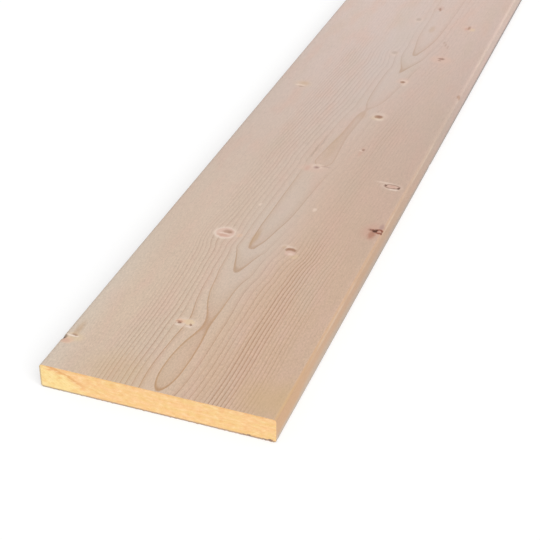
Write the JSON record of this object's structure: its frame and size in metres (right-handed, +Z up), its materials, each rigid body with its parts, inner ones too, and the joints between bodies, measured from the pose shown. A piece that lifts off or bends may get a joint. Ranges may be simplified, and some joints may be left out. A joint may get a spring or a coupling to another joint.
{
  "type": "timber plank",
  "caption": "Straight planed softwood plank with a flat rectangular section, eased long edges and square sawn ends, for boarding, shelving and joinery.",
  "frame": {"origin": "centre of the underside, on the surface that the plank lies on", "axes": "+Y along the grain, with the pictured sawn end at -Y; +X across the width; +Z up through the thickness"},
  "size_m": [0.195, 1.8, 0.022],
  "materials": {
    "planed_softwood": "planed, unfinished"
  },
  "bodies": {
    "root": {"plank": "planed_softwood"}
  },
  "joints": []
}
